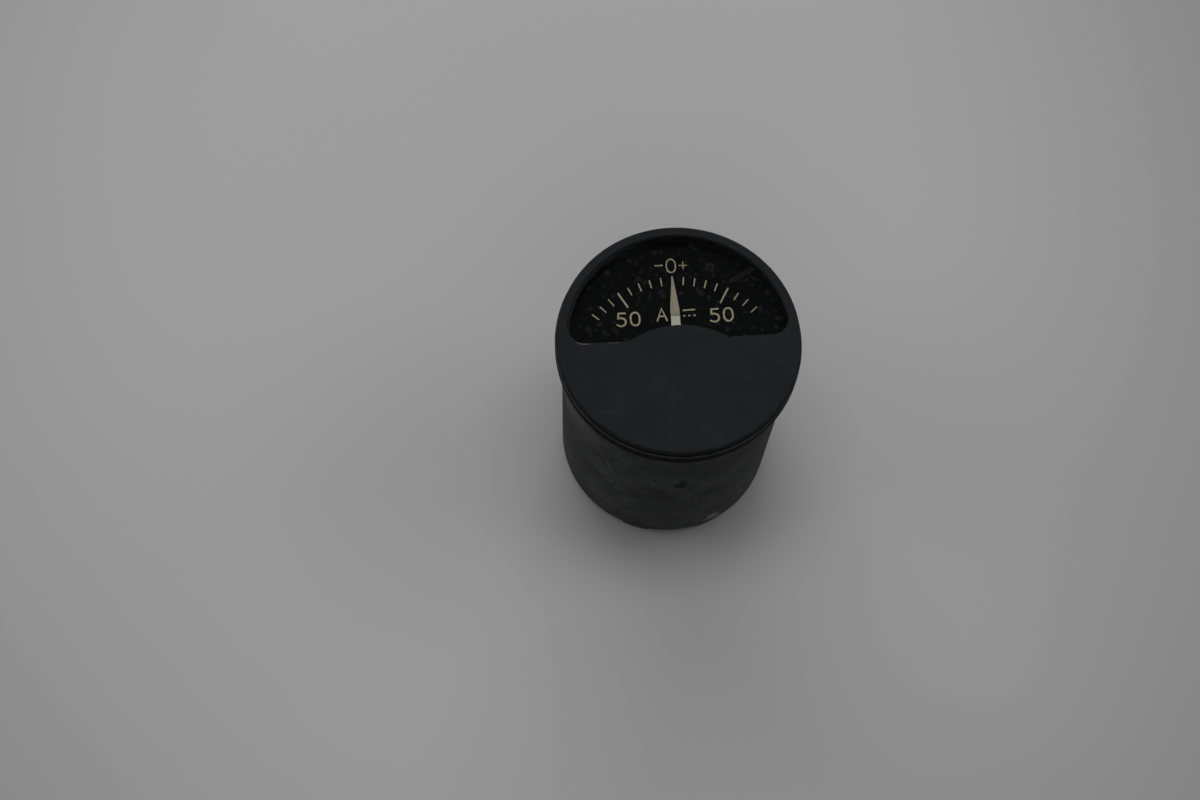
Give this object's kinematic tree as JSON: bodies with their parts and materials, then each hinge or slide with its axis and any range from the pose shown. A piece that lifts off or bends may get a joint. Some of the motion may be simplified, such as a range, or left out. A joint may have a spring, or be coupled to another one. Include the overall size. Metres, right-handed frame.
{
  "type": "ammeter",
  "caption": "Round clamp-mounted panel ammeter for direct current, with a centre-zero dial behind an arched window and threaded terminals recessed in the back.",
  "frame": {"origin": "on the case's axis, at the plane the rear feet stand on", "axes": "+Z along the case's axis, out of the front face; +Y towards twelve o'clock on the dial; +X towards the plus side of the dial"},
  "size_m": [0.0524, 0.0524, 0.0623],
  "materials": {
    "case_paint": "satin",
    "ring_paint": "satin",
    "mask_paint": "satin",
    "window": "polished",
    "gasket": "matte",
    "moulding": "satin",
    "insulation": "satin",
    "wire_insulation": "matte",
    "black_insulation": "matte",
    "steel": "satin",
    "staff_steel": "polished",
    "black_steel": "satin",
    "soft_iron": "satin",
    "magnet_steel": "satin",
    "cast_alloy": "satin",
    "brass": "satin",
    "tinned_brass": "satin",
    "spring_bronze": "polished",
    "resistance_alloy": "satin",
    "enamelled_wire": "gloss",
    "former_alloy": "satin",
    "pointer_paint": "matte",
    "dial_paint": "matte",
    "mark_paint": "matte",
    "jewel": "polished"
  },
  "bodies": {
    "root": {"case": "case_paint", "retaining_ring": "ring_paint", "front_mask": "mask_paint", "window_glass": "window", "glass_gasket": "gasket", "rear_base": "moulding", "case_screws": "black_steel", "base_screws": "steel", "spacer_posts": "brass", "movement_plate": "cast_alloy", "dial_plate": "dial_paint", "scale_marks": "mark_paint", "dial_posts": "brass", "dial_screws": "black_steel", "pointer_stops": "black_steel", "magnet": "magnet_steel", "magnet_clamp": "brass", "clamp_screws": "steel", "pole_piece_left": "soft_iron", "pole_piece_right": "soft_iron", "frame_screws": "steel", "core": "soft_iron", "core_bracket": "brass", "core_screw": "steel", "lower_bridge": "brass", "lower_bridge_screws": "steel", "lower_spring_post": "brass", "lower_hairspring": "spring_bronze", "bridge_pillars": "insulation", "upper_bridge": "brass", "upper_bridge_screws": "steel", "jewel_screws": "brass", "jewel_nuts": "steel", "jewels": "jewel", "adjuster_clip": "steel", "terminal_studs": "brass", "stud_washers": "tinned_brass", "clamp_nuts": "brass", "lock_washers": "steel", "terminal_nuts": "brass", "shunt_blocks": "brass", "shunt_strips": "resistance_alloy", "sense_screws": "steel", "sense_tags": "tinned_brass", "resistor_spool": "insulation", "resistor_winding": "enamelled_wire", "resistor_screw": "steel", "lead_positive": "wire_insulation", "lead_negative": "black_insulation", "lead_upper": "wire_insulation"},
    "zero_adjuster": {"zero_adjuster": "brass", "upper_hairspring": "spring_bronze"},
    "moving_coil": {"coil_former": "former_alloy", "coil_winding": "enamelled_wire", "upper_staff": "staff_steel", "lower_staff": "staff_steel", "spring_collets": "brass", "pointer": "pointer_paint", "balance_weights": "steel"}
  },
  "joints": [
    {"name": "zero_adjust", "type": "hinge", "parent": "root", "child": "zero_adjuster", "pos_m": [0, -0.0077, 0], "axis": [0, 0, -1], "range_deg": [-4, 4]},
    {"name": "pointer_turn", "type": "hinge", "parent": "zero_adjuster", "child": "moving_coil", "pos_m": [0, -0.0077, 0], "axis": [0, 0, -1], "range_deg": [-50, 50], "stiffness_Nm_per_rad": 0.00003, "deforming": ["upper_hairspring", "lower_hairspring"]}
  ]
}
